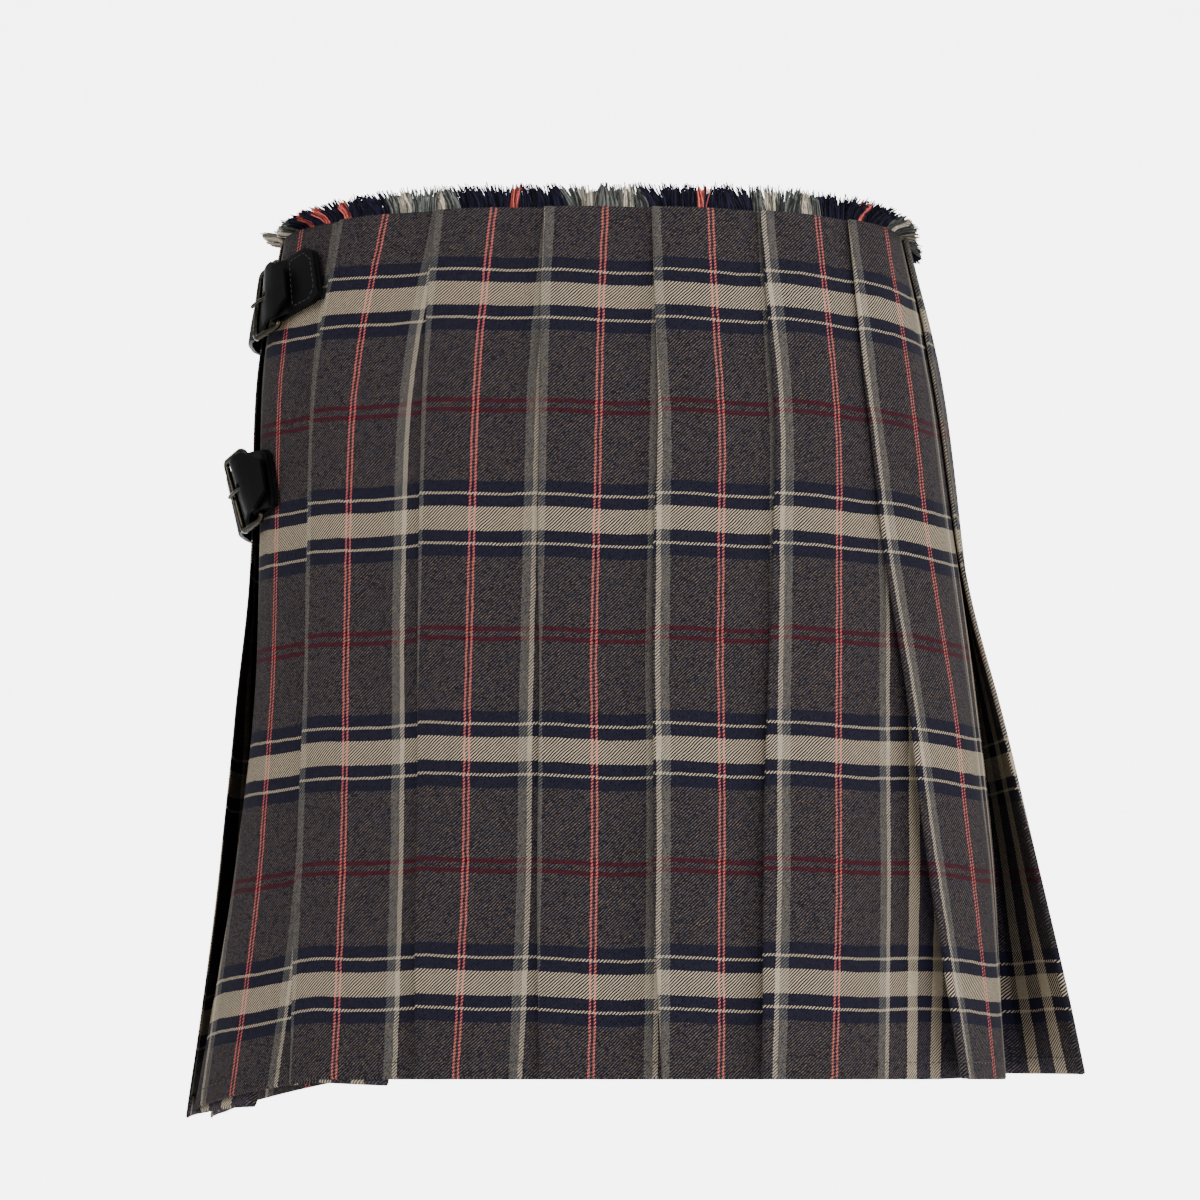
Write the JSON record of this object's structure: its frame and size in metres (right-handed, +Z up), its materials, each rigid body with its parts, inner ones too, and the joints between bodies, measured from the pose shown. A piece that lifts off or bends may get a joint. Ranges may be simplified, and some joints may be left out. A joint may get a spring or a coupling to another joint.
{
  "type": "scottish kilt",
  "caption": "Short wrapped wool kilt, worn and hollow: knife-pleated tartan back, plain overlapping aprons, frayed waist edge and leather strap fastenings.",
  "frame": {"origin": "middle of the waist opening, level with the cloth's top edge, where the wearer's waist holds it", "axes": "+Z up; the pleated back faces -Y and the plain aprons +Y; the wearer's left, with the fastenings, is at -X"},
  "size_m": [0.4623, 0.3014, 0.4681],
  "materials": {
    "wool_twill": null,
    "wool_yarn": "frayed yarn in the tartan's colours",
    "leather": "smooth black, satin",
    "gunmetal": "dark gunmetal plating with a bronze shine"
  },
  "bodies": {
    "root": {"pleated_back": "wool_twill", "over_apron": "wool_twill", "under_apron": "wool_twill", "waist_fringe": "wool_yarn", "upper_base_tab": "leather", "upper_strap": "leather", "upper_buckle_frame": "gunmetal", "upper_prong": "gunmetal", "lower_base_tab": "leather", "lower_strap": "leather", "lower_buckle_frame": "gunmetal", "lower_prong": "gunmetal"}
  },
  "joints": []
}
